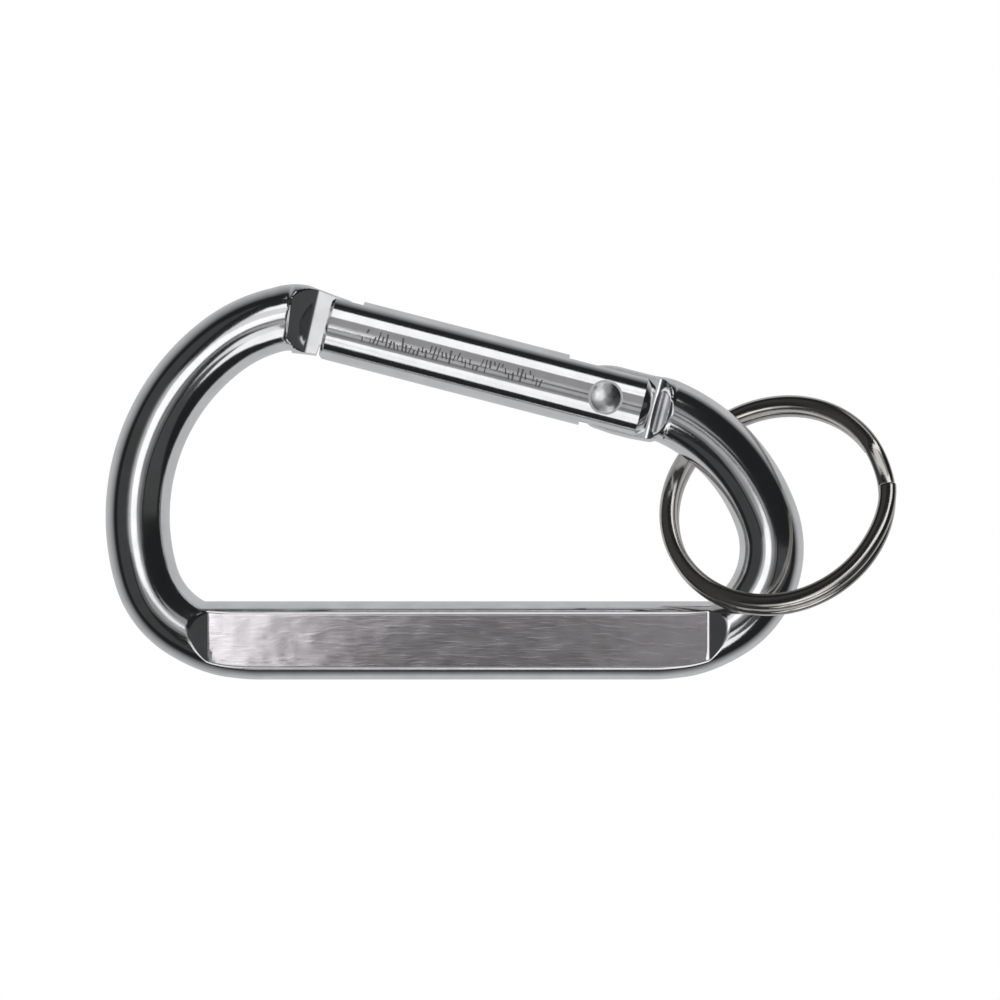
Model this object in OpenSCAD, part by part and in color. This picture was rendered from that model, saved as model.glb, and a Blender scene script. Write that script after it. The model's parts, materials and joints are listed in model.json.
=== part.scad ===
// Carabiner keyring.
// Origin: centre of the spine's upper flat face. +X runs along the spine towards the split ring,
// +Y runs from the spine towards the gate, +Z points out of the upper flat face.

/* [Rod] */
// Diameter of the round rod that the frame is bent from
rod_d = 7.0; // [6.6:0.1:7.2]
// Distance between the centres of the two spine bends
spine_len = 48.8; // [48:0.1:52]

/* [Pressed spine] */
// Thickness left between the two pressed flat faces
spine_t = 5.0; // [4.6:0.1:5.4]
// Width of the spine, which bulges as it is pressed
spine_w = 8.54; // [8.2:0.02:8.8]
// Length of the flat faces
flat_len = 54.6; // [50:0.2:55]

/* [Gate] */
// Diameter of the gate
gate_d = 7.2; // [7:0.1:7.4]
// Length of the gate from its rivet to the nose end
gate_reach = 31.4; // [31:0.1:31.6]
// Diameter of the blind bore that houses the spring
bore_d = 4.2; // [4:0.1:4.4]
// Widest angle that the gate opens to
gate_travel = 45; // [30:1:45]

/* [Split ring] */
// Outer diameter of the split ring
ring_d = 26.1; // [25.5:0.1:26.2]
// Tilt of the split ring from the plane of the frame
ring_tilt = 31; // [31:0.5:34]

/* [Hidden] */

$fn = 96;
eps = 0.01;
mid_z = -spine_t / 2;
rod_r = rod_d / 2;

// Bends of the rod, each a radius of its centreline
bend_l_r = 9.82;
upper_l_r = 23.4;
nose_r = 15.8;
bend_r_r = 10.05;
upper_r_r = 19.74;
// Directions from an arc's centre at which one arc of the rod runs into the next
bend_l_end = 195.9;
upper_l_end = 127;
nose_end = 100;
bend_r_end = 19.1;
upper_r_end = 66.5;

function dir(angle) = [cos(angle), sin(angle)];
spine_shift = -0.22;
bend_l_c = [spine_shift - spine_len / 2, bend_l_r];
upper_l_c = bend_l_c - (upper_l_r - bend_l_r) * dir(bend_l_end);
nose_c = upper_l_c + (upper_l_r - nose_r) * dir(upper_l_end);
bend_r_c = [spine_shift + spine_len / 2, bend_r_r];
upper_r_c = bend_r_c - (upper_r_r - bend_r_r) * dir(bend_r_end);
// Each joint between two stretches of the rod is a short collar that stands this far proud of it
joint_swell = 0.02;
joint_trim = 0.1;
// Straight ends of the rod beyond its last arcs
nose_stub = 2.5;
hinge_stub = 1.6;

// Pressed spine
side_r = 3.17;
ramp_len = 2.0;
inner_edge_x = 28.6;
corner_cut_x = 23.0;
corner_slope = 0.36;
press_inner_y = 6.9;

// Gate frame: origin on the rivet, u runs along the gate away from the nose, v points out of the loop
hinge = [16.04, 26.47];
gate_angle = -14.46;
gate_r = gate_d / 2;
gate_tail = 5.07;
end_chamfer = 1.0;
end_chamfer_depth = 0.6;
slot_w = 3.4;
tongue_t = 3.1;
hinge_slot_len = 4.85;
inner_slot_len = 2.1;
nose_slot_depth = 3.4;
nose_slot_floor = -2.45;
bore_end = -20;

// Hinge tongue: an eccentric round nose works as the cam that drives the plunger
tongue_r = 3.5;
cam_r = 2.7;
cam_offset = 1.1;
cam_c = cam_offset * [sin(gate_travel / 2), -cos(gate_travel / 2)];
cam_face = cam_r - cam_offset * sin(gate_travel / 2);
neck_ramp = [5.75, 7.3];
neck_outer_edge = [[0, 3.65], [4.6, 3.7], [6.0, 3.8], [8.3, 3.6]];
neck_inner_edge = [[8.3, -3.05], [5.75, -3.5], [3.6, -3.65], [1.6, -3.65], [0, -3.5]];

// Nose tongue
nose_ramp = [-36.2, -33.0];
nose_knee = [-34.3, 0.1];
nose_w = 7.46;
nose_tongue_w = 6.8;
nose_step = -31.6;
nose_tongue_end = -28.6;
nose_inner_edge = -2.3;

// Rivet
rivet_d = 2.5;
rivet_hole_d = 2.6;
rivet_head_d = 3.3;
rivet_rim_h = 0.35;
rivet_dome_h = 0.25;
rivet_dome_r = (pow(rivet_head_d / 2, 2) + pow(rivet_dome_h, 2)) / (2 * rivet_dome_h);
recess_d = 3.8;
recess_z = 3.1;

// Plunger and spring
plunger_gap = 0.05;
plunger_face = -cam_face - plunger_gap;
plunger_r = bore_d / 2 - 0.08;
plunger_head = 2.6;
plunger_stem_r = 1.0;
plunger_stem = 6.0;
spring_wire_r = 0.22;
spring_r = 1.6;
spring_turns = 10;
spring_start = bore_end + spring_wire_r + 0.05;
spring_stop = plunger_face - plunger_head - spring_wire_r - 0.05;
spring_sides = 8;
spring_steps = 20;

// Split ring: two turns of flattened wire, one on the other
wire_t = 1.2;
wire_w = 1.9;
wire_edge = 0.3;
ring_r = ring_d / 2;
ring_c = [34.8, 14.8, 0.75];
ring_lean = -60;
split_gap = 0.35;
crossover_from = 67;
crossover_to = 92;

module in_middle() {
    translate([0, 0, mid_z])
        children();
}

module at_hinge() {
    translate([hinge[0], hinge[1], mid_z])
        rotate([0, 0, gate_angle])
            children();
}

// Round rod along an arc of the centreline, a little short at both ends
module rod_arc(centre, radius, from, to) {
    trim = joint_trim / radius * 180 / PI;
    translate([centre[0], centre[1], 0])
        rotate([0, 0, from + trim])
            rotate_extrude(angle = to - from - 2 * trim)
                translate([radius, 0])
                    circle(r = rod_r);
}

module rod_straight(start, heading, length) {
    translate([start[0], start[1], 0])
        rotate([0, 90, heading])
            translate([0, 0, joint_trim])
                cylinder(r = rod_r, h = length - 2 * joint_trim);
}

// Short collar that joins one stretch of the rod to the next
module rod_joint(point, heading) {
    translate([point[0], point[1], 0])
        rotate([0, 90, heading])
            cylinder(r = rod_r + joint_swell, h = 4 * joint_trim, center = true);
}

module bent_rod() {
    nose_tip = nose_c + nose_r * dir(nose_end);
    hinge_tip = upper_r_c + upper_r_r * dir(upper_r_end);
    rod_arc(bend_l_c, bend_l_r, bend_l_end, 270);
    rod_arc(upper_l_c, upper_l_r, upper_l_end, bend_l_end);
    rod_arc(nose_c, nose_r, nose_end, upper_l_end);
    rod_arc(bend_r_c, bend_r_r, 270, 360 + bend_r_end);
    rod_arc(upper_r_c, upper_r_r, bend_r_end, upper_r_end);
    rod_straight([bend_l_c[0], 0], 0, spine_len);
    rod_straight(nose_tip, nose_end - 90, nose_stub);
    rod_straight(hinge_tip, upper_r_end + 90, hinge_stub);
    rod_joint([bend_l_c[0], 0], 0);
    rod_joint([bend_r_c[0], 0], 0);
    rod_joint(bend_l_c + bend_l_r * dir(bend_l_end), bend_l_end + 90);
    rod_joint(upper_l_c + upper_l_r * dir(upper_l_end), upper_l_end + 90);
    rod_joint(nose_tip, nose_end + 90);
    rod_joint(bend_r_c + bend_r_r * dir(bend_r_end), bend_r_end + 90);
    rod_joint(hinge_tip, upper_r_end + 90);
}

// Bulged bar around the spine, before its faces are pressed flat; its outer corners run into the bends
module pressed_bar() {
    rotate([90, 0, 90])
        translate([0, 0, -inner_edge_x])
            linear_extrude(height = 2 * inner_edge_x)
                union() {
                    square([spine_w - 2 * side_r, spine_t + 1], center = true);
                    for (side = [-1, 1])
                        translate([side * (spine_w / 2 - side_r), 0])
                            circle(r = side_r);
                }
}

module outer_corner_cut() {
    translate([0, 0, -rod_r])
        linear_extrude(height = rod_d)
            polygon([
                [corner_cut_x, -spine_w / 2 - eps],
                [inner_edge_x + 1, -spine_w / 2 - eps + corner_slope * (inner_edge_x + 1 - corner_cut_x)],
                [inner_edge_x + 1, -spine_w]
            ]);
}

// Space above the upper flat face and its two ramps
module spine_press() {
    rise = rod_r - spine_t / 2;
    reach = rise + 1;
    translate([0, press_inner_y, 0])
        rotate([90, 0, 0])
            linear_extrude(height = 12)
                polygon([
                    [-flat_len / 2, spine_t / 2],
                    [flat_len / 2, spine_t / 2],
                    [flat_len / 2 + ramp_len / rise * reach, spine_t / 2 + reach],
                    [-flat_len / 2 - ramp_len / rise * reach, spine_t / 2 + reach]
                ]);
}

// Space above a tongue: flat at the tongue's face, then a ramp up to the round rod
module tongue_press(flat_end, ramp_start, ramp_end) {
    rise = rod_r - tongue_t / 2;
    slope = (ramp_end - ramp_start) / rise;
    reach = rise + 0.6;
    translate([0, 5, 0])
        rotate([90, 0, 0])
            linear_extrude(height = 10)
                polygon([
                    [flat_end, tongue_t / 2],
                    [ramp_start, tongue_t / 2],
                    [ramp_start + slope * reach, tongue_t / 2 + reach],
                    [flat_end, tongue_t / 2 + reach]
                ]);
}

module both_faces() {
    children();
    mirror([0, 0, 1])
        children();
}

// Flat plate from outline points in the gate's frame
module plate(thickness, points) {
    translate([0, 0, -thickness / 2])
        linear_extrude(height = thickness)
            polygon(points);
}

module disc(centre, radius, thickness) {
    translate([centre[0], centre[1], -thickness / 2])
        cylinder(r = radius, h = thickness);
}

module hinge_tongue() {
    plate(tongue_t, concat(neck_outer_edge, neck_inner_edge));
    intersection() {
        disc([0, 0], tongue_r, tongue_t);
        union() {
            disc(cam_c, cam_r, tongue_t);
            plate(tongue_t, [
                [-cam_face, tongue_r],
                [tongue_r, tongue_r],
                [tongue_r, -tongue_r],
                [cam_c[0], -tongue_r],
                [cam_c[0], cam_c[1]],
                [-cam_face, cam_c[1]]
            ]);
        }
    }
}

module nose_tongue() {
    disc(nose_knee, nose_w / 2, tongue_t);
    plate(tongue_t, [
        [nose_knee[0], nose_w / 2 + nose_knee[1]],
        [nose_step, nose_tongue_w / 2 + 0.1],
        [nose_tongue_end - 0.6, nose_tongue_w / 2 - 0.1],
        [nose_tongue_end, nose_tongue_w / 2 - 0.7],
        [nose_tongue_end, nose_inner_edge],
        [nose_step, nose_inner_edge],
        [nose_step, -nose_tongue_w / 2],
        [nose_knee[0], -nose_w / 2 + nose_knee[1]]
    ]);
}

module frame_body() {
    color("silver")
        difference() {
            union() {
                difference() {
                    in_middle() {
                        bent_rod();
                        difference() {
                            pressed_bar();
                            outer_corner_cut();
                            mirror([1, 0, 0])
                                outer_corner_cut();
                        }
                    }
                    in_middle()
                        both_faces()
                            spine_press();
                    at_hinge()
                        both_faces() {
                            tongue_press(-30, nose_ramp[1], nose_ramp[0]);
                            tongue_press(0, neck_ramp[0], neck_ramp[1]);
                        }
                }
                at_hinge() {
                    nose_tongue();
                    hinge_tongue();
                }
            }
            at_hinge()
                cylinder(d = rivet_hole_d, h = tongue_t + 1, center = true);
        }
}

module gate() {
    color("lightgray")
        at_hinge()
            difference() {
                translate([-gate_reach, 0, 0])
                    rotate([0, 90, 0]) {
                        cylinder(r = gate_r, h = gate_reach + gate_tail - end_chamfer);
                        translate([0, 0, gate_reach + gate_tail - end_chamfer])
                            cylinder(r1 = gate_r, r2 = gate_r - end_chamfer_depth, h = end_chamfer);
                    }
                translate([bore_end, 0, 0])
                    rotate([0, 90, 0])
                        cylinder(d = bore_d, h = gate_tail - bore_end + 1);
                plate(slot_w, [
                    [-gate_reach - 1, nose_slot_floor],
                    [-gate_reach + nose_slot_depth, nose_slot_floor],
                    [-gate_reach + nose_slot_depth, gate_r + 1],
                    [-gate_reach - 1, gate_r + 1]
                ]);
                plate(slot_w, [
                    [-hinge_slot_len, 0],
                    [-inner_slot_len, 0],
                    [-inner_slot_len, -gate_r - 1],
                    [gate_tail + 1, -gate_r - 1],
                    [gate_tail + 1, gate_r + 1],
                    [-hinge_slot_len, gate_r + 1]
                ]);
                disc([0, 0], tongue_r + 0.25, slot_w);
                cylinder(d = rivet_d, h = gate_d + 1, center = true);
                both_faces()
                    translate([0, 0, recess_z])
                        cylinder(d = recess_d, h = gate_r);
            }
}

// Rim and dome of a rivet head, seated in the gate's round recess
module rivet_head() {
    translate([0, 0, recess_z])
        intersection() {
            translate([0, 0, rivet_rim_h + rivet_dome_h - rivet_dome_r])
                sphere(r = rivet_dome_r);
            cylinder(d = rivet_head_d, h = rivet_rim_h + rivet_dome_h);
        }
}

module hinge_rivet() {
    color("gainsboro")
        at_hinge() {
            cylinder(d = rivet_d, h = 2 * recess_z + eps, center = true);
            both_faces()
                rivet_head();
        }
}

// Closed tube along a helix about the gate's axis
module gate_spring() {
    rings = spring_turns * spring_steps;
    pitch = (spring_stop - spring_start) / spring_turns;
    function on_helix(i, radius) = [
        spring_start + pitch * i / spring_steps,
        radius * cos(360 * i / spring_steps),
        radius * sin(360 * i / spring_steps)
    ];
    points = [
        for (i = [0:rings])
            for (k = [0:spring_sides - 1])
                let (a = 360 * k / spring_sides)
                    on_helix(i, spring_r + spring_wire_r * cos(a)) + [spring_wire_r * sin(a), 0, 0]
    ];
    walls = [
        for (i = [0:rings - 1])
            for (k = [0:spring_sides - 1])
                let (
                    next = (k + 1) % spring_sides,
                    a = i * spring_sides,
                    b = a + spring_sides
                )
                    [a + k, a + next, b + next, b + k]
    ];
    first_end = [for (k = [spring_sides - 1:-1:0]) k];
    last_end = [for (k = [0:spring_sides - 1]) rings * spring_sides + k];
    color("dimgray")
        at_hinge()
            polyhedron(points = points, faces = concat(walls, [first_end, last_end]), convexity = 10);
}

module spring_plunger() {
    color("slategray")
        at_hinge()
            translate([plunger_face, 0, 0])
                rotate([0, -90, 0]) {
                    cylinder(r = plunger_r, h = plunger_head);
                    cylinder(r = plunger_stem_r, h = plunger_head + plunger_stem);
                }
}

// Rounded section of one flattened wire
module wire_section() {
    translate([-wire_w, -wire_t / 2 + wire_edge])
        square([wire_w, wire_t - 2 * wire_edge]);
    translate([-wire_w + wire_edge, -wire_t / 2])
        square([wire_w - 2 * wire_edge, wire_t]);
    for (x = [-wire_edge, -wire_w + wire_edge])
        for (y = [-wire_t / 2 + wire_edge, wire_t / 2 - wire_edge])
            translate([x, y])
                circle(r = wire_edge);
}

module split_cut(angle, low) {
    rotate([0, 0, angle])
        translate([ring_r - wire_w - 0.5, -split_gap / 2, low])
            cube([wire_w + 1, split_gap, wire_t]);
}

module split_ring() {
    color("darkgray")
        translate([ring_c[0], ring_c[1], ring_c[2] + mid_z])
            rotate([0, 0, ring_lean])
                rotate([0, -ring_tilt, 0])
                    difference() {
                        rotate_extrude()
                            for (side = [-1, 1])
                                translate([ring_r, side * (wire_t / 2 - eps)])
                                    wire_section();
                        split_cut(crossover_from, 0.1);
                        split_cut(crossover_to, -wire_t - 0.1);
                    }
}

frame_body();
gate();
hinge_rivet();
gate_spring();
spring_plunger();
split_ring();
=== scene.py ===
"""Looks of the carabiner keyring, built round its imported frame.

Lengths are in millimetres until a mesh is made.
"""

import json
import math
import random

import bpy
import numpy as np
from mathutils import Matrix, Vector


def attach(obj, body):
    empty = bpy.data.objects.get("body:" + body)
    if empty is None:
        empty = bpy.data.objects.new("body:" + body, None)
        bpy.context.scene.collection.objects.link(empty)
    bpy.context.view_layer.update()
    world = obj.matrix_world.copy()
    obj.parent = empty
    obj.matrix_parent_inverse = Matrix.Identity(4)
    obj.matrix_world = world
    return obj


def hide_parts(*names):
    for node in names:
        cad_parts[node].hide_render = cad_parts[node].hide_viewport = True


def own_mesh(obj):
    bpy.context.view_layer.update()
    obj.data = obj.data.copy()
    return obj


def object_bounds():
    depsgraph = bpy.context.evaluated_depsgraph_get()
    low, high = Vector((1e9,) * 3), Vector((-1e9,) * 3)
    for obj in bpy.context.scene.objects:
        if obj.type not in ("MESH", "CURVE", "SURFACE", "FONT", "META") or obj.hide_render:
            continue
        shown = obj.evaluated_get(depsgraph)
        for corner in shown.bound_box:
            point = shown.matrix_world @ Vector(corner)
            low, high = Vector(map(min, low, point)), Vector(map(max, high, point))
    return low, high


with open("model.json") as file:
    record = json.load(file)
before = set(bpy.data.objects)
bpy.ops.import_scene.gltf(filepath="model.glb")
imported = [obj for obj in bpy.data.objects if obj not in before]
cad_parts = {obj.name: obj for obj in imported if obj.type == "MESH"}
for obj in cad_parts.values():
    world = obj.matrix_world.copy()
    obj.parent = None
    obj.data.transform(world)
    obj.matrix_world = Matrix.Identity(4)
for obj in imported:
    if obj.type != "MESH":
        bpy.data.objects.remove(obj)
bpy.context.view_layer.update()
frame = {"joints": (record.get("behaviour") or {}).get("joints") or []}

MM = 0.001
TINY = 1e-6
SMOOTH_DEGREES = 30
joints = {joint["name"]: joint for joint in frame["joints"]}

# The gate's frame: s runs along the gate away from the nose, v points out of the loop, both from the rivet
hinge = np.array(joints["gate_hinge"]["pos_m"]) / MM
mid_z = hinge[2]
gate_u = -np.array(joints["plunger_slide"]["axis"])[:2]
gate_v = np.array([-gate_u[1], gate_u[0]])
gate_heading = math.degrees(math.atan2(gate_u[1], gate_u[0]))

# Rod and its bends: centreline radius of each arc, and the directions from its centre at which it ends
ROD_R = 3.5
SPINE_HALF = 24.4
SPINE_SHIFT = -0.22
BEND_L_R, BEND_L_END = 9.82, 195.9
UPPER_L_R, UPPER_L_END = 23.4, 127
NOSE_R, NOSE_END = 15.8, 100
KNEE_R = 4.1
BEND_R_R, BEND_R_END = 10.05, 19.1
UPPER_R_R, UPPER_R_END = 19.74, 66.5
NECK_R = 6.0

# Pressed spine
SPINE_FLAT_Z = 2.5
FLAT_HALF = 27.3
SPINE_RAMP = 2.0
BULGE = 0.77
BULGE_FADE_FROM = 21.7
BULGE_FADE_OVER = 8.0
BULGE_END = math.radians(60)
SPINE_FILLET = 0.14
RAMP_ROUNDING = 0.06
FLAT_TOLERANCE = 0.02

# Tongues at the nose and the hinge
TONGUE_Z = 1.55
TONGUE_FILLET = 0.12
NOSE_SWELL = 2.8
NECK_SWELL = 2.3
CREASE_BLEND = 5.0
# Each line across the rod is (s at the middle, lean): s = middle + lean * v
NOSE_START = (-35.85, -0.14)
NOSE_KNEE = (-35.3, -0.09)
NOSE_FOOT = (-33.15, -0.03)
NOSE_TONGUE_END = -28.6
NECK_START = (7.45, 0.0)
NECK_KNEE = (7.1, 0.0)
NECK_FOOT = (5.75, 0.0)
NOSE_STEP, NOSE_ROUNDING = 0.25, 0.04
NECK_STEP, NECK_ROUNDING = 0.08, 0.3
# Sides of the nose tongue, as (s, distance from the centreline)
NOSE_OUTER = ((-36.6, 3.5), (-34.3, 3.73), (-32.7, 3.55), (-31.6, 3.42), (-29.2, 3.2), (NOSE_TONGUE_END, 2.6))
NOSE_INNER = ((-36.6, 3.5), (-34.3, 3.86), (-32.7, 3.64), (-31.62, 3.5), (-31.6, 2.4))
# Hinge tongue: v of its two sides, and the cam that its inner side ends in
TONGUE_JOIN = 7.2
OUTER_V, OUTER_DROP, OUTER_DROP_FROM, OUTER_DROP_OVER = 3.68, 0.52, 0.9, 2.7
OUTER_SWELL_FROM, OUTER_SWELL_AT, OUTER_SWELL_V = 4.6, 6.0, 3.82
INNER_SWELL_FROM, INNER_SWELL_TO, INNER_SWELL_V = 1.6, 3.6, -3.65
CAM_C = (0.421, -1.016)
CAM_R = 2.7
CAM_FACE = 2.279
TONGUE_R = 3.5
RIVET_HOLE_R = 1.3

# Gate
GATE_R = 3.6
GATE_NOSE = -31.4
GATE_TAIL = 5.07
GATE_CHAMFER = 1.0
GATE_CHAMFER_DEPTH = 0.6
NOSE_CHAMFER = 0.35
NOSE_EDGE = 0.8
TAIL_EDGE = (0.06, 0.04)
SLOT_HALF = 1.7
HINGE_SLOT = -4.85
INNER_SLOT = -2.1
NOSE_SLOT_END = -28.0
NOSE_SLOT_FLOOR = -2.45
HINGE_SLOT_R = 3.75
BORE_R = 2.1
BORE_END = -20.0
RECESS_R = 1.9
RECESS_Z = 3.1
# Cutters reach PAST the gate's surface, and STAGGER keeps two cutters' flat sides apart
PAST = 1.0
STAGGER = 1e-3
# What lies within SKIN of the gate's radius, and faces out this squarely, is its turned face
SKIN = 0.02
TURNED_COSINE = 0.995
# Strokes cut into its crown; each span is v from one end of a stroke to the other
MARK_FROM, MARK_TO = -27.4, -7.0
MARK_COUNT = 46
MARK_DEPTH = 0.08
MARK_HALF_W = (0.06, 0.11)
MARK_LEAN = 0.11
MARK_SPANS = ((-0.75, 0.75), (-0.75, 0.1), (-0.1, 0.75), (-0.35, 0.35), (-0.75, -0.2), (0.3, 0.75))

# Rivet
SHANK_R = 1.25
HEAD_R = 1.65
HEAD_RIM = 0.35
HEAD_DOME = 0.25
HEAD_EDGE = 0.05

# Plunger and spring
PLUNGER_FACE = -2.329
PLUNGER_R = 2.02
PLUNGER_HEAD = 2.6
PLUNGER_STEM_R = 1.0
PLUNGER_STEM = 6.0
PLUNGER_CHAMFER = 0.2
PLUNGER_EDGE = 0.15
SPRING_R = 1.6
SPRING_WIRE_R = 0.22
SPRING_START = -19.73
SPRING_STOP = -5.2
SPRING_TURNS = 10
CLOSED_PITCH = 2.1

# Split ring: two turns of flattened wire, one on the other, with a step from the lower to the upper turn
RING_C = np.array([34.8, 14.8, mid_z + 0.75])
RING_LEAN = -60
RING_TILT = 31
RING_R = 13.05
WIRE_W = 1.9
WIRE_T = 1.19
RING_LOWER_END = 92.6
RING_STEP = (427, 452)
RING_UPPER_END = 786.0
RING_PLAY = 0.005
RING_DEGREES = 1.6
# The wire's ends are slightly smaller, and the last turn springs out over its last degrees
END_EDGE, END_INSET = 0.55, 0.12
END_SPRING, END_SPRING_OVER = 0.32, 40


def direction(degrees):
    return np.array([math.cos(math.radians(degrees)), math.sin(math.radians(degrees))])


def smooth_min(a, b, k):
    h = max(k - abs(a - b), 0.0) / k
    return min(a, b) - h * h * k / 4


def smooth_max(a, b, k):
    return -smooth_min(-a, -b, k)


def smooth_step(x):
    x = min(max(x, 0.0), 1.0)
    return x * x * (3 - 2 * x)


def to_gate(point):
    offset = point - hinge[:2]
    return float(offset @ gate_u), float(offset @ gate_v)


def from_gate(s, v):
    return hinge[:2] + s * gate_u + v * gate_v


# ---------------------------------------------------------------- meshes


def make_piece(name, vertices, faces):
    """Object from points in millimetres, smooth except over its sharp edges."""
    mesh = bpy.data.meshes.new(name)
    mesh.from_pydata([tuple(np.asarray(v) * MM) for v in vertices], [], faces)
    mesh.validate()
    finish_shading(mesh)
    piece = bpy.data.objects.new(name, mesh)
    bpy.context.scene.collection.objects.link(piece)
    return piece


def finish_shading(mesh):
    mesh.polygons.foreach_set("use_smooth", [True] * len(mesh.polygons))
    mesh.set_sharp_from_angle(angle=math.radians(SMOOTH_DEGREES))
    mesh.update()


def skin(rings, closed_ends=True):
    """Faces of a tube through rings of equal length."""
    n = len(rings[0])
    faces = []
    for i in range(len(rings) - 1):
        for k in range(n):
            a, b = i * n + k, i * n + (k + 1) % n
            faces.append((a, b, b + n, a + n))
    if closed_ends:
        faces.append(tuple(reversed(range(n))))
        faces.append(tuple((len(rings) - 1) * n + k for k in range(n)))
    return faces


def cut(piece, cutters):
    """Takes the cutters' shapes out of the piece, in one mesh."""
    for cutter in cutters:
        modifier = piece.modifiers.new("cut", "BOOLEAN")
        modifier.operation = "DIFFERENCE"
        modifier.solver = "EXACT"
        modifier.object = cutter
    graph = bpy.context.evaluated_depsgraph_get()
    mesh = bpy.data.meshes.new_from_object(piece.evaluated_get(graph))
    if len(mesh.polygons) < len(cutters):
        raise RuntimeError("cutting " + piece.name + " left nothing of it")
    piece.modifiers.clear()
    old = piece.data
    piece.data = mesh
    bpy.data.meshes.remove(old)
    for cutter in cutters:
        bpy.data.objects.remove(cutter)
    finish_shading(mesh)


def lathe(name, profile, place, sides=128):
    """Solid turned about an axis.

    profile holds (distance along the axis, radius), and place maps (along, a, b) to a point.
    """
    vertices, rings = [], []
    for along, radius in profile:
        if radius < TINY:
            rings.append([len(vertices)])
            vertices.append(place(along, 0, 0))
        else:
            rings.append(list(range(len(vertices), len(vertices) + sides)))
            for k in range(sides):
                a = 2 * math.pi * k / sides
                vertices.append(place(along, radius * math.cos(a), radius * math.sin(a)))
    faces = []
    for lower, upper in zip(rings, rings[1:]):
        for k in range(sides):
            n = (k + 1) % sides
            if len(lower) == 1:
                faces.append((lower[0], upper[n], upper[k]))
            elif len(upper) == 1:
                faces.append((lower[k], lower[n], upper[0]))
            else:
                faces.append((lower[k], lower[n], upper[n], upper[k]))
    return make_piece(name, vertices, faces)


def along_gate(s, v, z):
    x, y = from_gate(s, v)
    return (x, y, mid_z + z)


def about_rivet(z, a, b):
    return along_gate(a, b, z)


def plate(points, low, high):
    """Straight-sided cutter from an outline in the gate's frame, given anticlockwise."""
    n = len(points)
    vertices = [along_gate(s, v, z) for z in (low, high) for s, v in points]
    faces = [tuple(reversed(range(n))), tuple(range(n, 2 * n))]
    faces += [(k, (k + 1) % n, n + (k + 1) % n, n + k) for k in range(n)]
    return make_piece("cutter", vertices, faces)


def round_cutter(radius, low, high, sides=96):
    """Cylindrical cutter about the rivet's axis."""
    turns = [2 * math.pi * k / sides for k in range(sides)]
    return plate([(radius * math.cos(a), radius * math.sin(a)) for a in turns], low, high)


# ---------------------------------------------------------------- frame of the carabiner

# Distances between sections of the rod, and how far past the knee and the ramps the fine ones go
FINEST_STEP = 0.04
TONGUE_STEP, TONGUE_PLAIN_STEP = 0.08, 0.45
RAMP_STEP, RAMP_MARGIN = 0.12, 0.6
ROD_STEP, FLAT_STEP, BEND_STEP = 0.5, 0.9, 0.4
KNEE_MARGIN = 1.2
# Spans of s in which the tongues change shape
NOSE_SHAPED = (-37.0, -31.2)
HINGE_SHAPED_TO, NECK_SHAPED = 1.2, (5.2, 7.9)
# Part of the bends that the spine's dies reach, as y
PRESS_REACH, RAMP_REACH = 7.5, 6


def arc_stations(centre, radius, start, end, zone):
    count = math.ceil(math.radians(end - start) * radius / FINEST_STEP)
    return [(centre + radius * direction(a), direction(a), zone) for a in np.linspace(start, end, count + 1)]


def line_stations(start, end, zone):
    count = math.ceil(np.linalg.norm(end - start) / FINEST_STEP)
    heading = (end - start) / np.linalg.norm(end - start)
    out = np.array([heading[1], -heading[0]])
    return [(start + (end - start) * t, out, zone) for t in np.linspace(0, 1, count + 1)]


def centreline():
    """Stations anticlockwise round the loop, from the nose tongue's end to the hinge tongue's end."""
    bend_l = np.array([SPINE_SHIFT - SPINE_HALF, BEND_L_R])
    upper_l = bend_l - (UPPER_L_R - BEND_L_R) * direction(BEND_L_END)
    nose = upper_l + (UPPER_L_R - NOSE_R) * direction(UPPER_L_END)
    knee = nose + (NOSE_R - KNEE_R) * direction(NOSE_END)
    bend_r = np.array([SPINE_SHIFT + SPINE_HALF, BEND_R_R])
    upper_r = bend_r - (UPPER_R_R - BEND_R_R) * direction(BEND_R_END)
    neck = upper_r + (UPPER_R_R - NECK_R) * direction(UPPER_R_END)
    square_on = gate_heading + 90
    nose_line_v = to_gate(knee + KNEE_R * direction(square_on))[1]
    neck_line_v = to_gate(neck + NECK_R * direction(square_on))[1]
    stretches = [
        line_stations(from_gate(NOSE_TONGUE_END, nose_line_v), knee + KNEE_R * direction(square_on), "nose"),
        arc_stations(knee, KNEE_R, square_on, NOSE_END, "nose"),
        arc_stations(nose, NOSE_R, NOSE_END, UPPER_L_END, "nose"),
        arc_stations(upper_l, UPPER_L_R, UPPER_L_END, BEND_L_END, "rod"),
        arc_stations(bend_l, BEND_L_R, BEND_L_END, 270, "bend_l"),
        line_stations(np.array([bend_l[0], 0.0]), np.array([bend_r[0], 0.0]), "spine"),
        arc_stations(bend_r, BEND_R_R, 270, 360 + BEND_R_END, "bend_r"),
        arc_stations(upper_r, UPPER_R_R, BEND_R_END, UPPER_R_END, "hinge"),
        arc_stations(neck, NECK_R, UPPER_R_END, square_on, "hinge"),
        line_stations(neck + NECK_R * direction(square_on), from_gate(-CAM_FACE, neck_line_v), "hinge"),
    ]
    stations = stretches[0]
    for stretch in stretches[1:]:
        stations += stretch[1:]
    return thin_out(stations)


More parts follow.
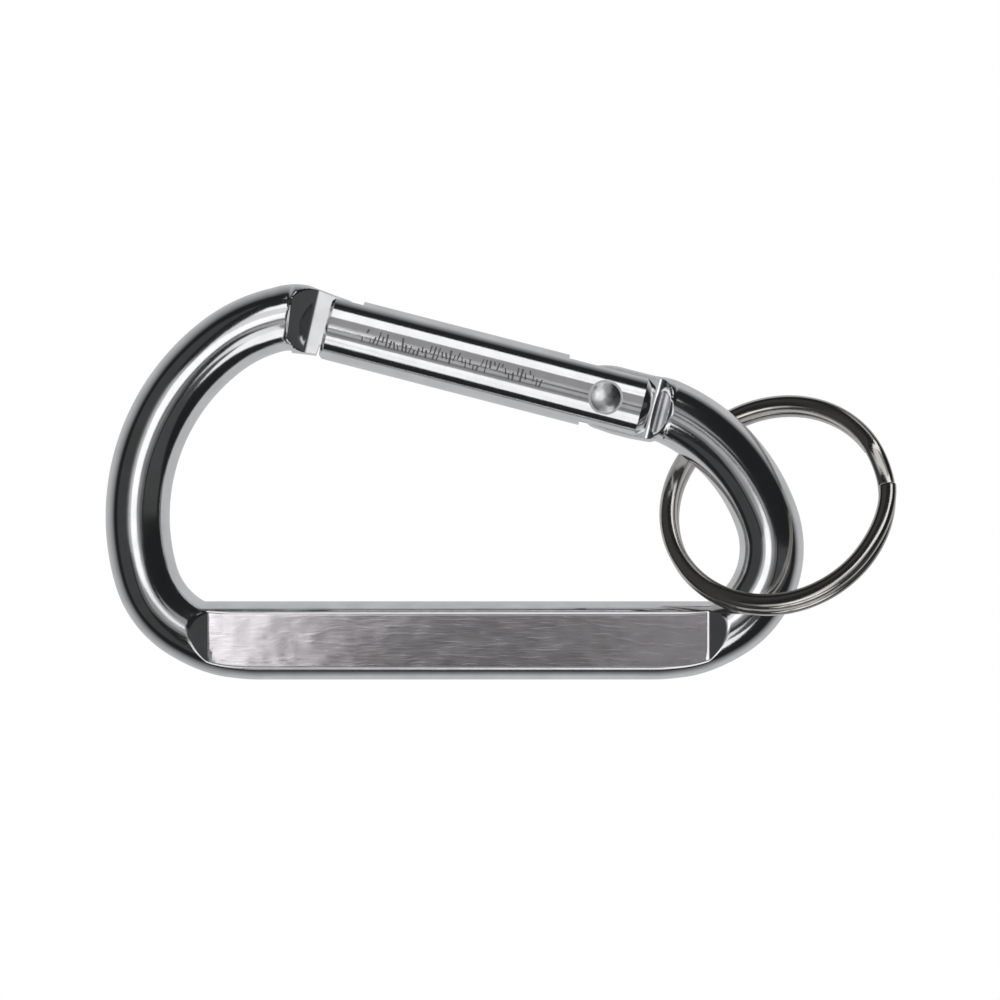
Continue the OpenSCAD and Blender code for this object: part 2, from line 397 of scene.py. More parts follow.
def wanted_step(point, zone):
    """Distance between stations: fine where the shape changes, coarse on plain stretches."""
    if zone in ("nose", "hinge"):
        s = to_gate(point)[0]
        if zone == "nose" and abs(s - NOSE_KNEE[0]) < KNEE_MARGIN:
            return FINEST_STEP
        near_nose = NOSE_SHAPED[0] < s < NOSE_SHAPED[1]
        near_neck = s < HINGE_SHAPED_TO or NECK_SHAPED[0] < s < NECK_SHAPED[1]
        return TONGUE_STEP if (near_nose if zone == "nose" else near_neck) else TONGUE_PLAIN_STEP
    if zone == "rod":
        return ROD_STEP
    from_ramp = abs(abs(point[0]) - FLAT_HALF - SPINE_RAMP / 2)
    if from_ramp < SPINE_RAMP / 2 + RAMP_MARGIN and point[1] < RAMP_REACH:
        return RAMP_STEP
    return FLAT_STEP if zone == "spine" and abs(point[0]) < BULGE_FADE_FROM else BEND_STEP


def thin_out(stations):
    kept = [stations[0]]
    for station in stations[1:-1]:
        if np.linalg.norm(station[0] - kept[-1][0]) >= wanted_step(station[0], station[2]) - TINY:
            kept.append(station)
    return kept + [stations[-1]]


def press_height(point, zone):
    """Half thickness that the spine's dies leave at a point, whatever the round of the rod."""
    if zone in ("spine", "bend_l", "bend_r") and point[1] < PRESS_REACH:
        slope = (ROD_R - SPINE_FLAT_Z) / SPINE_RAMP
        return smooth_max(SPINE_FLAT_Z, SPINE_FLAT_Z + slope * (abs(point[0]) - FLAT_HALF), RAMP_ROUNDING)
    return 2 * ROD_R


def squeeze(point, zone):
    """Swell of the rod's sides and fall of its top towards a tongue, each from 0 to 1."""
    s, v = to_gate(point)
    if zone == "nose":
        lines, step, rounding = (NOSE_START, NOSE_KNEE, NOSE_FOOT), NOSE_STEP, NOSE_ROUNDING
    else:
        lines, step, rounding = (NECK_START, NECK_KNEE, NECK_FOOT), NECK_STEP, NECK_ROUNDING
    start, knee, foot = (middle + lean * v for middle, lean in lines)
    swell = smooth_step((s - start) / (knee - start))
    fall = max((s - knee) / (foot - knee), 0.0) * (1 - step)
    return swell, smooth_min(swell * step + fall, 1.0, rounding)


def half_height(point, share, zone):
    """Half thickness of the frame at share of the way out from the middle of the section to its side."""
    round_z = ROD_R * math.sqrt(max(1 - share * share, 0.0))
    if zone not in ("nose", "hinge"):
        return smooth_min(round_z, press_height(point, zone), SPINE_FILLET)
    swell, fall = squeeze(point, zone)
    if swell <= 0:
        return round_z
    power = 2 + ((NOSE_SWELL if zone == "nose" else NECK_SWELL) - 2) * swell
    swollen = ROD_R * max(1 - share**power, 0.0) ** (1 / power)
    return smooth_min(swollen, ROD_R - fall * (ROD_R - TONGUE_Z), TONGUE_FILLET * swell)


def extents(point, zone):
    """How far the section reaches outward and inward from the centreline."""
    if zone == "nose":
        s = to_gate(point)[0]
        return np.interp(s, *zip(*NOSE_OUTER)), np.interp(s, *zip(*NOSE_INNER))
    if zone == "hinge":
        return hinge_extents(*to_gate(point))
    if zone == "spine":
        beyond = abs(point[0] - SPINE_SHIFT) - BULGE_FADE_FROM
        return ROD_R + BULGE * (1 - smooth_step(beyond / BULGE_FADE_OVER)), ROD_R + BULGE
    if zone in ("bend_l", "bend_r"):
        radius = BEND_L_R if zone == "bend_l" else BEND_R_R
        side = -1 if zone == "bend_l" else 1
        centre = np.array([SPINE_SHIFT + side * SPINE_HALF, radius])
        turn = math.atan2(abs(point[0] - centre[0]), centre[1] - point[1])
        if turn > BULGE_END or turn < 0:
            return ROD_R, ROD_R
        beyond = SPINE_HALF + radius * turn - BULGE_FADE_FROM
        inner = (radius - ROD_R) - (radius - ROD_R - BULGE) / math.cos(turn)
        return ROD_R + BULGE * (1 - smooth_step(beyond / BULGE_FADE_OVER)), ROD_R + max(inner, 0.0)
    return ROD_R, ROD_R


def hinge_extents(s, v):
    """The same at the hinge tongue, whose sides are given in the gate's frame."""
    if s > NECK_START[0]:
        return ROD_R, ROD_R
    outer = OUTER_V - OUTER_DROP * (max(OUTER_DROP_FROM - s, 0.0) / OUTER_DROP_OVER) ** 2
    outer = np.interp(s, [OUTER_SWELL_FROM, OUTER_SWELL_AT, TONGUE_JOIN], [outer, OUTER_SWELL_V, v + ROD_R])
    if s >= 0:
        inner = np.interp(
            s,
            [0, INNER_SWELL_FROM, INNER_SWELL_TO, NECK_FOOT[0], TONGUE_JOIN],
            [-TONGUE_R, INNER_SWELL_V, INNER_SWELL_V, -TONGUE_R, v - ROD_R],
        )
    else:
        cam = CAM_C[1] - math.sqrt(max(CAM_R**2 - (s - CAM_C[0]) ** 2, 0.0))
        inner = max(cam, -math.sqrt(TONGUE_R**2 - s * s))
    return outer - v, v - inner


# Parts of a quarter section: its round side, the crease and the pressed face
SIDE_STEPS, CREASE_STEPS, TOP_STEPS = 14, 8, 26
CREASE_SPREAD = math.radians(4.5)
SHALLOWEST_CREASE, STEEPEST_CREASE = math.radians(12), math.radians(72)
CREASE_HALVINGS = 18
TONGUE_CREASE = math.radians(20)


def crease_angle(point, out, reach, zone):
    """Angle round the rod at which its round side meets the pressed face."""
    if zone in ("nose", "hinge"):
        s = to_gate(point)[0]
        away = NOSE_START[0] - s if zone == "nose" else s - NECK_START[0]
        return TONGUE_CREASE + (STEEPEST_CREASE - TONGUE_CREASE) * smooth_step(away / CREASE_BLEND)
    low, high = SHALLOWEST_CREASE, STEEPEST_CREASE
    for _ in range(CREASE_HALVINGS):
        middle = (low + high) / 2
        if ROD_R * math.sin(middle) > press_height(point + out * reach * math.cos(middle), zone):
            high = middle
        else:
            low = middle
    return (low + high) / 2


def quarter(point, out, reach, zone):
    """Points of a quarter section, (distance from the centreline, height), from the side to the middle."""
    crease = crease_angle(point, out, reach, zone)
    before, after = crease - CREASE_SPREAD, crease + CREASE_SPREAD
    angles = list(np.linspace(0, before, SIDE_STEPS + 1))
    angles += list(np.linspace(before, after, CREASE_STEPS + 1))[1:]
    rim = math.cos(after)
    shares = [math.cos(a) for a in angles] + [rim * (1 - k / TOP_STEPS) for k in range(1, TOP_STEPS + 1)]
    return [(reach * share, half_height(point + out * reach * share, share, zone)) for share in shares]


def section(point, out, zone):
    outward, inward = extents(point, zone)
    outer = quarter(point, out, outward, zone)
    inner = [(-w, z) for w, z in quarter(point, -out, inward, zone)]
    upper = outer + inner[::-1][1:]
    lower = [(w, -z) for w, z in upper[::-1][1:-1]]
    ring = upper + lower
    return [(*(point + out * w), mid_z + z) for w, z in ring]


def build_frame_body():
    rings = [section(*station) for station in centreline()]
    vertices = [v for ring in rings for v in ring]
    piece = make_piece("carabiner_body", vertices, skin(rings))
    cut(piece, [round_cutter(RIVET_HOLE_R, -ROD_R, ROD_R)])
    return piece


# ---------------------------------------------------------------- gate and what it holds


def build_gate():
    back, up = TAIL_EDGE
    profile = [
        (GATE_NOSE, 0),
        (GATE_NOSE, GATE_R - NOSE_CHAMFER - NOSE_EDGE),
        (GATE_NOSE, GATE_R - NOSE_CHAMFER),
        (GATE_NOSE + NOSE_CHAMFER, GATE_R),
        (GATE_TAIL - GATE_CHAMFER, GATE_R),
        (GATE_TAIL - back, GATE_R - GATE_CHAMFER_DEPTH + up),
        (GATE_TAIL, GATE_R - GATE_CHAMFER_DEPTH - up),
        (GATE_TAIL, 0),
    ]
    piece = lathe("gate_arm", profile, along_gate, sides=192)
    before, after, above = GATE_NOSE - PAST, GATE_TAIL + PAST, GATE_R + PAST
    nose_slot = [
        (before, NOSE_SLOT_FLOOR), (NOSE_SLOT_END, NOSE_SLOT_FLOOR),
        (NOSE_SLOT_END, above), (before, above),
    ]
    hinge_slot = [
        (HINGE_SLOT, 0), (INNER_SLOT, 0), (INNER_SLOT, -above),
        (after, -above), (after, above), (HINGE_SLOT, above),
    ]
    cutters = [
        plate(nose_slot, -SLOT_HALF, SLOT_HALF),
        plate(hinge_slot, -SLOT_HALF, SLOT_HALF),
        round_cutter(HINGE_SLOT_R, -SLOT_HALF + STAGGER, SLOT_HALF - STAGGER),
        lathe("bore", [(BORE_END, 0), (BORE_END, BORE_R), (0, BORE_R), (0, 0)], along_gate),
        round_cutter(SHANK_R, -above, above),
        round_cutter(RECESS_R, RECESS_Z, above),
        round_cutter(RECESS_R, -above, -RECESS_Z),
        build_marks(),
    ]
    cut(piece, cutters)
    turn_normals(piece.data)
    return piece


def build_marks():
    """Cutter for a row of fine strokes of unequal length along the crown of the gate, a plain pattern.

    The widest and most slanted are 0.44 mm across, just under the pitch: strokes that overlap spoil the cut.
    """
    vertices, faces = [], []
    floor, top = GATE_R - MARK_DEPTH, GATE_R + PAST / 2
    pitch = (MARK_TO - MARK_FROM) / MARK_COUNT
    draw = random.Random(5)
    for i in range(MARK_COUNT):
        s = MARK_FROM + pitch * (i + 0.5)
        low, high = draw.choice(MARK_SPANS)
        half_w = draw.uniform(*MARK_HALF_W)
        lean = draw.uniform(-MARK_LEAN, MARK_LEAN)
        outline = [
            (s - half_w - lean, low), (s + half_w - lean, low),
            (s + half_w + lean, high), (s - half_w + lean, high),
        ]
        base = len(vertices)
        vertices += [along_gate(a, b, z) for z in (floor, top) for a, b in outline]
        faces += [(base + 3, base + 2, base + 1, base), (base + 4, base + 5, base + 6, base + 7)]
        faces += [(base + k, base + (k + 1) % 4, base + 4 + (k + 1) % 4, base + 4 + k) for k in range(4)]
    return make_piece("cutter", vertices, faces)


def turn_normals(mesh):
    """Gives the gate's turned face a cylinder's normals, so that cut edges don't dent its reflections."""
    axis = np.array([gate_u[0], gate_u[1], 0.0])
    origin = np.array([hinge[0], hinge[1], mid_z]) * MM
    normals = []
    corner_normals = [Vector(c.vector) for c in mesh.corner_normals]
    for polygon in mesh.polygons:
        face = np.array(polygon.normal)
        centre = np.array(polygon.center) - origin
        radial = centre - axis * (centre @ axis)
        distance = np.linalg.norm(radial)
        turned = distance > (GATE_R - SKIN) * MM and face @ (radial / distance) > TURNED_COSINE
        for loop in polygon.loop_indices:
            if turned:
                point = np.array(mesh.vertices[mesh.loops[loop].vertex_index].co) - origin
                point = point - axis * (point @ axis)
                normals.append(Vector(point / np.linalg.norm(point)))
            else:
                normals.append(corner_normals[loop])
    mesh.normals_split_custom_set(normals)


def dome(rim_z, top_z, radius, steps=14):
    """Profile of a domed head, from its rim to its crown."""
    rise = top_z - rim_z
    ball = (radius * radius + rise * rise) / (2 * rise)
    widest = math.asin(radius / ball)
    return [(top_z - ball * (1 - math.cos(a)), ball * math.sin(a)) for a in np.linspace(widest, 0, steps)]


def build_rivet():
    rim = RECESS_Z + HEAD_RIM
    upper = [
        (0, SHANK_R), (RECESS_Z, SHANK_R), (RECESS_Z, HEAD_R - HEAD_EDGE), (RECESS_Z + HEAD_EDGE, HEAD_R),
    ]
    upper += dome(rim, rim + HEAD_DOME, HEAD_R)
    lower = [(-z, r) for z, r in upper[1:]][::-1]
    return lathe("gate_rivet", lower + upper, about_rivet, sides=96)


def build_plunger():
    face, neck = PLUNGER_FACE, PLUNGER_FACE - PLUNGER_HEAD
    end = neck - PLUNGER_STEM
    profile = [
        (end, 0),
        (end, PLUNGER_STEM_R - PLUNGER_CHAMFER),
        (end + PLUNGER_CHAMFER, PLUNGER_STEM_R),
        (neck - PLUNGER_EDGE, PLUNGER_STEM_R),
        (neck, PLUNGER_STEM_R + PLUNGER_EDGE),
        (neck, PLUNGER_R - PLUNGER_EDGE),
        (neck + PLUNGER_EDGE, PLUNGER_R),
        (face - PLUNGER_CHAMFER, PLUNGER_R),
        (face, PLUNGER_R - PLUNGER_CHAMFER),
        (face, 0),
    ]
    return lathe("cam_plunger", profile, along_gate, sides=64)


def build_spring():
    """Coil spring with a closed turn at each end."""
    per_turn, sides = 40, 14
    length = SPRING_STOP - SPRING_START
    total = SPRING_TURNS * per_turn
    closed = CLOSED_PITCH * SPRING_WIRE_R
    rings = []
    for i in range(total + 1):
        turn = i / per_turn
        along = np.interp(turn, [0, 1, SPRING_TURNS - 1, SPRING_TURNS], [0, closed, length - closed, length])
        s = SPRING_START + float(along)
        a = 2 * math.pi * turn
        ring = []
        for k in range(sides):
            b = -2 * math.pi * k / sides
            r = SPRING_R + SPRING_WIRE_R * math.cos(b)
            ring.append(along_gate(s + SPRING_WIRE_R * math.sin(b), r * math.cos(a), r * math.sin(a)))
        rings.append(ring)
    return make_piece("plunger_spring", [v for ring in rings for v in ring], skin(rings))


# ---------------------------------------------------------------- split ring


def wire_outline(half_w, half_t, points=44, power=2.7):
    """Crowned outline of the flattened wire, clockwise, (radial, axial) from its centre."""
    outline = []
    for k in range(points):
        c, t = direction(-360 * k / points)
        outline.append((half_w * math.copysign(abs(c) ** (2 / power), c),
                        half_t * math.copysign(abs(t) ** (2 / power), t)))
    return outline


def build_ring():
    lean = Matrix.Rotation(math.radians(RING_LEAN), 3, "Z")
    turn = np.array(lean @ Matrix.Rotation(math.radians(-RING_TILT), 3, "Y"))
    outline = wire_outline(WIRE_W / 2, WIRE_T / 2)
    half = WIRE_T / 2 + RING_PLAY
    steps = int((RING_UPPER_END - RING_LOWER_END) / RING_DEGREES)
    angles = list(np.linspace(RING_LOWER_END, RING_UPPER_END, steps))
    angles = [angles[0], angles[0] + END_EDGE] + angles[1:-1] + [angles[-1] - END_EDGE, angles[-1]]
    rings = []
    for i, angle in enumerate(angles):
        share = smooth_step((angle - RING_STEP[0]) / (RING_STEP[1] - RING_STEP[0]))
        height = -half + 2 * half * share
        spring_out = END_SPRING * smooth_step((angle - RING_UPPER_END + END_SPRING_OVER) / END_SPRING_OVER)
        at_end = i in (0, len(angles) - 1)
        scale = 1 - END_INSET / WIRE_T if at_end else 1
        ring = []
        for w, t in outline:
            radius = RING_R - WIRE_W / 2 + spring_out + w * scale
            local = np.array([*(radius * direction(angle)), height + t * scale])
            ring.append(RING_C + turn @ local)
        rings.append(ring)
    return make_piece("key_ring", [v for ring in rings for v in ring], skin(rings))


# ---------------------------------------------------------------- materials


class Nodes:
    """A metal's node tree, with short calls for the nodes used here."""

    def __init__(self, name, base, roughness):
        self.material = bpy.data.materials.new(name)
        self.material.use_nodes = True
        self.tree = self.material.node_tree
        self.shader = self.tree.nodes["Principled BSDF"]
        self.shader.inputs["Metallic"].default_value = 1.0
        self.shader.inputs["Base Color"].default_value = (*base, 1)
        self.shader.inputs["Roughness"].default_value = roughness
        self.place = self.add("ShaderNodeTexCoord").outputs["Object"]

    def add(self, kind, **settings):
        node = self.tree.nodes.new(kind)
        for key, value in settings.items():
            setattr(node, key, value)
        return node

    def link(self, source, target):
        self.tree.links.new(source, target)

    def noise(self, scale, stretch=(1, 1, 1), turn=0.0, detail=4.0, roughness=0.5):
        """Noise in millimetres: scale features per mm, stretched along the part's axes and turned about Z."""
        mapping = self.add("ShaderNodeMapping")
        mapping.inputs["Rotation"].default_value = (0, 0, math.radians(turn))
        mapping.inputs["Scale"].default_value = [1000 * scale * k for k in stretch]
        self.link(self.place, mapping.inputs["Vector"])
        noise = self.add("ShaderNodeTexNoise")
        noise.inputs["Scale"].default_value = 1.0
        noise.inputs["Detail"].default_value = detail
        noise.inputs["Roughness"].default_value = roughness
        self.link(mapping.outputs["Vector"], noise.inputs["Vector"])
        return noise.outputs["Fac"]

    def ramp(self, source, low, high, from_low=0.3, from_high=0.7):
        """source, spread from the noise's usual span to low..high."""
        node = self.add("ShaderNodeMapRange")
        spans = {"From Min": from_low, "From Max": from_high, "To Min": low, "To Max": high}
        for name, value in spans.items():
            node.inputs[name].default_value = value
        self.link(source, node.inputs["Value"])
        return node.outputs["Result"]

    def tint(self, source, dark, light):
        node = self.add("ShaderNodeMix", data_type="RGBA")
        self.link(source, node.inputs["Factor"])
        node.inputs["A"].default_value = (*dark, 1)
        node.inputs["B"].default_value = (*light, 1)
        return node.outputs["Result"]

    def blend(self, share, first, second):
        """Number between two sources, or a source and a plain number."""
        node = self.add("ShaderNodeMix", data_type="FLOAT")
        self.link(share, node.inputs["Factor"])
        for name, value in (("A", first), ("B", second)):
            if isinstance(value, (int, float)):
                node.inputs[name].default_value = value
            else:
                self.link(value, node.inputs[name])
        return node.outputs["Result"]

    def blend_colours(self, share, first, second):
        node = self.add("ShaderNodeMix", data_type="RGBA")
        self.link(share, node.inputs["Factor"])
        self.link(first, node.inputs["A"])
        self.link(second, node.inputs["B"])
        return node.outputs["Result"]

    def bump(self, source, strength, distance, previous=None):
        node = self.add("ShaderNodeBump")
        node.inputs["Strength"].default_value = strength
        node.inputs["Distance"].default_value = distance * MM
        self.link(source, node.inputs["Height"])
        if previous is not None:
            self.link(previous, node.inputs["Normal"])
        return node.outputs["Normal"]

    def set(self, name, source):
        self.link(source, self.shader.inputs[name])


def polished_metal(name, dark, light, rough_low, rough_high, wave):
    """Tumble-polished metal: soft waves, faint cloudiness and fine random scratches."""
    n = Nodes(name, light, rough_high)
    cloud = n.noise(0.35, detail=3)
    n.set("Base Color", n.tint(n.ramp(cloud, 0, 1), dark, light))
    scratch = n.noise(2.2, stretch=(1, 5, 2), turn=33, detail=6, roughness=0.7)
    n.set("Roughness", n.ramp(scratch, rough_low, rough_high))
    waves = n.bump(n.noise(0.3, detail=1), 1.0, wave)
    n.set("Normal", n.bump(scratch, 0.35, 0.002, waves))
    return n.material


def body_metal(name, polished, satin):
    """Polished rod whose pressed faces are satin: brushed, softly stained, with a few deeper strokes."""
    n = Nodes(name, polished[1], 0.1)
    on_flat = n.add("ShaderNodeAttribute", attribute_name="satin").outputs["Fac"]
    cloud = n.ramp(n.noise(0.35, detail=3), 0, 1)
    mottle = n.ramp(n.noise(0.22, stretch=(0.7, 1.2, 1), detail=5, roughness=0.6), 0, 1, 0.35, 0.65)
    n.set("Base Color", n.blend_colours(on_flat, n.tint(cloud, *polished), n.tint(mottle, *satin)))
    scratch = n.noise(2.2, stretch=(1, 5, 2), turn=33, detail=6, roughness=0.7)
    brush = n.noise(1.0, stretch=(0.35, 9, 1), detail=5, roughness=0.6)
    n.set("Roughness", n.blend(on_flat, n.ramp(scratch, 0.08, 0.15), n.ramp(brush, 0.07, 0.12)))
    strokes = n.ramp(n.noise(0.5, stretch=(0.6, 3.5, 1), turn=28, detail=3), 0, 1, 0.55, 0.62)
    waves = n.bump(n.noise(0.3, detail=1), 1.0, 0.012)
    lines = n.bump(n.blend(on_flat, 0.5, brush), 0.14, 0.003, waves)
    deep = n.bump(n.blend(on_flat, 0.0, strokes), 0.25, 0.003, lines)
    n.set("Normal", n.bump(scratch, 0.3, 0.0015, deep))
    return n.material


def engraved_metal(name, dark, light):
    """Dull floor and walls of the strokes cut into the gate."""
    n = Nodes(name, light, 0.45)
    grain = n.noise(6.0, detail=3)
    n.set("Base Color", n.tint(grain, dark, light))
    n.set("Roughness", n.ramp(grain, 0.35, 0.6))
    n.set("Normal", n.bump(grain, 0.5, 0.01))
    return n.material


def drawn_wire(name, colour, rough):
    """Spring wire with fine drawing marks."""
    n = Nodes(name, colour, rough)
    marks = n.noise(3.0, stretch=(1, 1, 4), detail=4)
    n.set("Roughness", n.ramp(marks, rough * 0.7, rough * 1.4))
    n.set("Base Color", n.tint(marks, tuple(0.8 * c for c in colour), colour))
    n.set("Normal", n.bump(marks, 0.3, 0.003))
    return n.material


def turned_metal(name, colour, rough):
    """Small turned part with a fine, even grain."""
    n = Nodes(name, colour, rough)
    grain = n.noise(4.0, detail=3)
    n.set("Roughness", n.ramp(grain, rough * 0.75, rough * 1.35))
    n.set("Base Color", n.tint(n.noise(0.8), tuple(0.88 * c for c in colour), colour))
    n.set("Normal", n.bump(grain, 0.08, 0.002))
    return n.material


def paint(piece, material):
    piece.data.materials.clear()
    piece.data.materials.append(material)


def paint_marks(piece, material):
    """Second material on the walls and floors of the strokes in the gate."""
    piece.data.materials.append(material)
    for polygon in piece.data.polygons:
        x, y, z = (c / MM for c in polygon.center)
        s, v = to_gate(np.array([x, y]))
        in_stroke = GATE_R - MARK_DEPTH - SKIN < math.hypot(v, z - mid_z) < GATE_R - SKIN
        if MARK_FROM < s < MARK_TO and z > mid_z and in_stroke:
            polygon.material_index = 1


def mark_flats(piece):
    """Stores which points lie on the pressed faces of the spine, which the body's material reads."""
    shares = []
    for vertex in piece.data.vertices:
        x, y, z = np.array(vertex.co) / MM
        on_face = abs(abs(z - mid_z) - SPINE_FLAT_Z) < FLAT_TOLERANCE
        shares.append(1.0 if on_face and abs(x) < FLAT_HALF and abs(y) < ROD_R + BULGE else 0.0)
    satin = piece.data.attributes.new("satin", "FLOAT", "POINT")
    satin.data.foreach_set("value", shares)


# ---------------------------------------------------------------- studio

CAMERA_DISTANCE = 700
VIEW_WIDTH = 109.13
VIEW_CENTRE = (4.58, 15.32)
LIGHT_HEIGHT = 2000
POOL_HALF, POOL_FADE = (50, 33), 1.6
FLOOR_HALF = 4000
FLOOR_GAP = 0.05
BACKDROP_R = 5000


def emission(name, colour, strength):
    material = bpy.data.materials.new(name)
    material.use_nodes = True
    tree = material.node_tree
    tree.nodes.clear()
    shader = tree.nodes.new("ShaderNodeEmission")
    shader.inputs["Color"].default_value = (*colour, 1)
    shader.inputs["Strength"].default_value = strength
    output = tree.nodes.new("ShaderNodeOutputMaterial")
    tree.links.new(shader.outputs["Emission"], output.inputs["Surface"])
    return material


def pool_of_light(name, near, far):
    """Floor that is bright round the object and fades away from it."""
    material = emission(name, (0.98, 0.99, 1.0), near)
    tree = material.node_tree
    centre = [c * MM for c in VIEW_CENTRE]
    shrink = [1 / (half * MM) for half in POOL_HALF]
    chain = [
        ("ShaderNodeVectorMath", "SUBTRACT", "Vector", [(*centre, 0)]),
        ("ShaderNodeVectorMath", "MULTIPLY", "Vector", [(*shrink, 0)]),
        ("ShaderNodeVectorMath", "LENGTH", "Value", []),
        ("ShaderNodeMath", "MAXIMUM", "Value", [1.0]),
        ("ShaderNodeMath", "POWER", "Value", [-POOL_FADE]),
        ("ShaderNodeMath", "MULTIPLY_ADD", "Value", [near - far, far]),
    ]
    source = tree.nodes.new("ShaderNodeTexCoord").outputs["Object"]
    for kind, operation, result, values in chain:
        node = tree.nodes.new(kind)
        node.operation = operation
        for k, value in enumerate(values):
            node.inputs[k + 1].default_value = value
        tree.links.new(source, node.inputs[0])
        source = node.outputs[result]
    tree.links.new(source, tree.nodes["Emission"].inputs["Strength"])
    return material


def stage_plane(name, z, material):
    """Square plane under the object, centred in the view."""
    corners = [
        (VIEW_CENTRE[0] + a * FLOOR_HALF, VIEW_CENTRE[1] + b * FLOOR_HALF, z)
        for a, b in ((-1, -1), (1, -1), (1, 1), (-1, 1))
    ]
    plane = make_piece(name, corners, [(0, 1, 2, 3)])
    paint(plane, material)
    return plane


def softbox(name, across, up, radiance):
    """Rectangular light overhead. Its edges are given from the view's centre, as shares of its height."""
    data = bpy.data.lights.new(name, "AREA")
    data.shape = "RECTANGLE"
    data.size = (across[1] - across[0]) * LIGHT_HEIGHT * MM
    data.size_y = (up[1] - up[0]) * LIGHT_HEIGHT * MM
    data.energy = radiance * math.pi * data.size * data.size_y
    light = bpy.data.objects.new(name, data)
    light.location = (
        (VIEW_CENTRE[0] + sum(across) / 2 * LIGHT_HEIGHT) * MM,
        (VIEW_CENTRE[1] + sum(up) / 2 * LIGHT_HEIGHT) * MM,
        LIGHT_HEIGHT * MM,
    )
    light.visible_camera = False
    bpy.context.scene.collection.objects.link(light)


def build_studio():
    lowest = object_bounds()[0].z / MM
    floor = stage_plane("floor", lowest - FLOOR_GAP, emission("floor_white", (1, 1, 1), 1.0))
    floor.visible_glossy = False
    pool = stage_plane("floor_pool", lowest - 2 * FLOOR_GAP, pool_of_light("floor_pool", 0.56, 0.05))
    pool.visible_camera = False
    pool.visible_diffuse = False
    softbox("key", (-0.42, -0.12), (-0.10, 0.30), 1.25)
    softbox("key_near", (-0.12, -0.035), (-0.012, 0.30), 1.3)
    softbox("key_foot", (-0.078, -0.052), (-0.06, -0.012), 1.7)
    softbox("key_foot_left", (-0.12, -0.078), (-0.08, -0.012), 0.8)
    softbox("key_edge", (-0.62, -0.42), (-0.10, 0.42), 0.5)
    softbox("key_tip", (-0.78, -0.62), (-0.10, 0.50), 0.15)
    softbox("key_high", (-0.36, -0.05), (0.30, 0.72), 0.8)
    softbox("key_low", (-0.45, -0.20), (-0.30, -0.10), 0.32)
    softbox("key_low_near", (-0.20, -0.05), (-0.30, -0.10), 0.42)
    softbox("key_lowest", (-0.45, -0.05), (-0.45, -0.30), 0.18)
    softbox("key_low_edge", (-0.65, -0.45), (-0.45, -0.10), 0.12)
    softbox("middle", (-0.035, 0.08), (-0.012, 0.16), 0.45)
    softbox("middle_near", (-0.052, 0.02), (-0.08, -0.012), 0.07)
    softbox("middle_dim", (0.02, 0.09), (-0.10, -0.012), 0.2)
    softbox("spine_glow", (-0.05, 0.06), (-0.45, -0.10), 0.4)
    softbox("spine_horizon", (-0.5, 0.5), (-9.0, -2.5), 0.45)
    softbox("spine_horizon_far", (-0.5, 0.5), (2.5, 9.0), 0.45)
    softbox("side_near", (0.09, 0.17), (-0.14, 0.03), 0.25)
    softbox("side_far", (0.17, 0.32), (-0.20, 0.02), 0.12)
    softbox("middle_high", (-0.02, 0.24), (0.16, 0.72), 0.30)
    softbox("middle_low", (-0.22, 0.02), (-0.62, -0.45), 0.30)
    softbox("strip_high", (-0.35, 0.32), (0.72, 1.10), 1.15)
    softbox("strip_far", (-0.10, 0.58), (1.10, 2.30), 1.15)
    softbox("strip_low", (-0.34, -0.02), (-1.10, -0.62), 1.15)
    softbox("strip_low_far", (-0.55, -0.22), (-2.10, -1.10), 1.1)
    softbox("corner", (0.06, 0.38), (-0.75, -0.35), 0.9)
    softbox("corner_far", (-0.02, 0.85), (-2.50, -0.75), 1.1)
    softbox("fill_left", (-4.0, -0.78), (-2.5, 2.5), 0.04)
    softbox("fill_right", (0.40, 4.0), (-0.75, 0.0), 0.05)
    world = bpy.data.worlds.new("studio")
    world.use_nodes = True
    background = world.node_tree.nodes["Background"]
    background.inputs["Color"].default_value = (0.95, 1.0, 1.02, 1)
    background.inputs["Strength"].default_value = 0.018
    bpy.context.scene.world = world


def build_backdrop():
    """White surround that only the camera sees, so that side views have the floor's colour behind them."""
    bands, sides = 16, 32
    turns = np.linspace(0, 2 * math.pi, sides, endpoint=False)
    rings = []
    for k in range(bands + 1):
        a = math.pi * k / bands - math.pi / 2
        across, up = BACKDROP_R * math.cos(a), BACKDROP_R * math.sin(a)
        rings.append([(across * math.cos(b), across * math.sin(b), up) for b in turns])
    backdrop = make_piece("backdrop", [v for ring in rings for v in ring], skin(rings, closed_ends=False))
    paint(backdrop, emission("backdrop_white", (1, 1, 1), 1.0))
    for flag in ("visible_glossy", "visible_diffuse", "visible_shadow", "visible_transmission"):
        setattr(backdrop, flag, False)


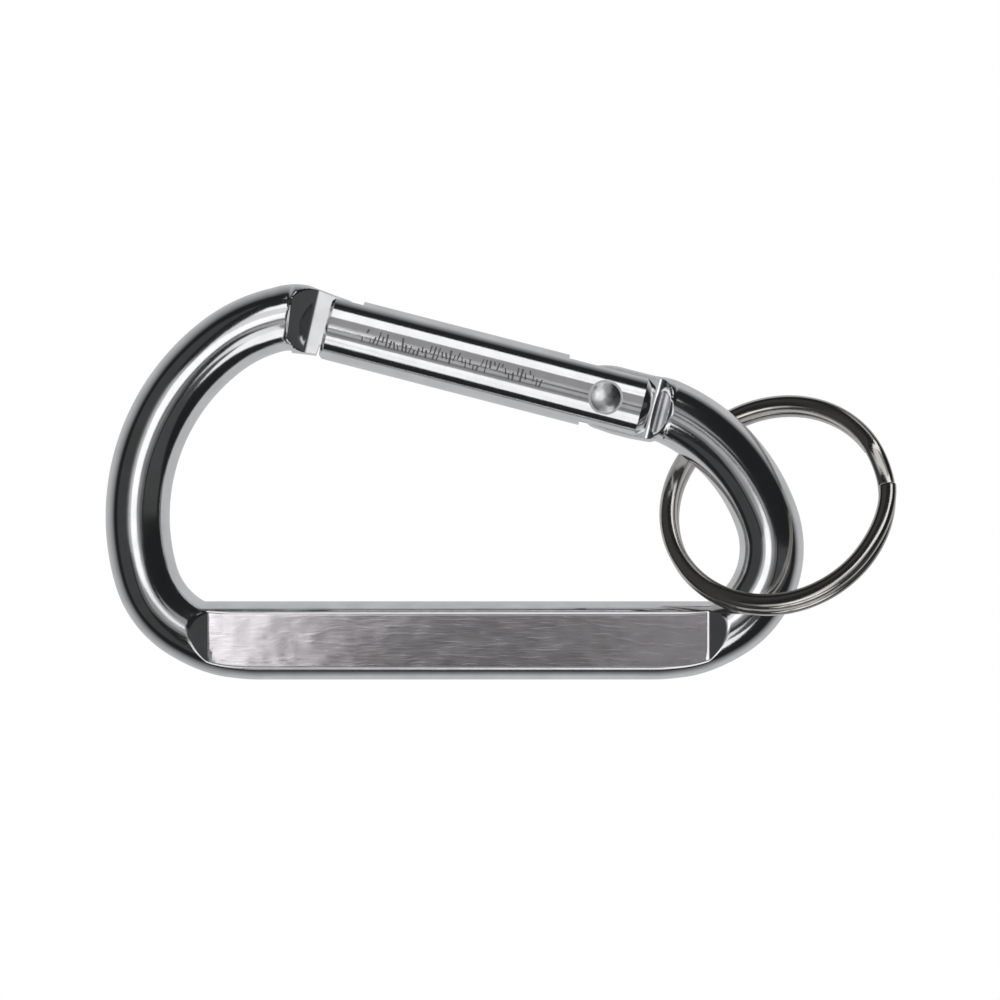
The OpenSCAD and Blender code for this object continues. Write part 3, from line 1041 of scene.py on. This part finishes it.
def build_camera():
    data = bpy.data.cameras.new("camera")
    data.sensor_width = 36
    data.lens = data.sensor_width * CAMERA_DISTANCE / VIEW_WIDTH
    data.clip_start, data.clip_end = 0.01, 50
    camera = bpy.data.objects.new("camera", data)
    camera.location = (VIEW_CENTRE[0] * MM, VIEW_CENTRE[1] * MM, (mid_z + CAMERA_DISTANCE) * MM)
    bpy.context.scene.collection.objects.link(camera)
    bpy.context.scene.camera = camera


# ---------------------------------------------------------------- the object

body_material = body_metal(
    "polished_aluminium",
    polished=((0.74, 0.74, 0.75), (0.84, 0.84, 0.86)),
    satin=((0.72, 0.675, 0.70), (0.84, 0.805, 0.84)),
)
gate_metal = polished_metal("gate_aluminium", (0.76, 0.76, 0.77), (0.86, 0.86, 0.88), 0.07, 0.14, wave=0.008)
rivet_metal = turned_metal("rivet_aluminium", (0.78, 0.79, 0.80), 0.2)
nickel = polished_metal("nickel_plate", (0.60, 0.575, 0.54), (0.72, 0.695, 0.66), 0.09, 0.17, wave=0.01)
wire = drawn_wire("spring_steel", (0.50, 0.50, 0.52), 0.3)
plunger_metal = turned_metal("plunger_steel", (0.56, 0.56, 0.58), 0.25)

body = build_frame_body()
mark_flats(body)
paint(body, body_material)
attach(body, "frame")
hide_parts("frame_body")

gate = build_gate()
paint(gate, gate_metal)
paint_marks(gate, engraved_metal("engraved_aluminium", (0.17, 0.16, 0.18), (0.32, 0.31, 0.33)))
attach(gate, "gate_arm")
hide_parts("gate")

rivet = build_rivet()
paint(rivet, rivet_metal)
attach(rivet, "gate_arm")
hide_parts("hinge_rivet")

plunger = build_plunger()
paint(plunger, plunger_metal)
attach(plunger, "plunger")
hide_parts("spring_plunger")

spring = build_spring()
paint(spring, wire)
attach(spring, "gate_arm")
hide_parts("gate_spring")
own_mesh(spring)

key_ring = build_ring()
paint(key_ring, nickel)
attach(key_ring, "key_ring")
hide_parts("split_ring")

build_studio()
build_backdrop()
build_camera()
bpy.context.scene.view_settings.view_transform = "Standard"
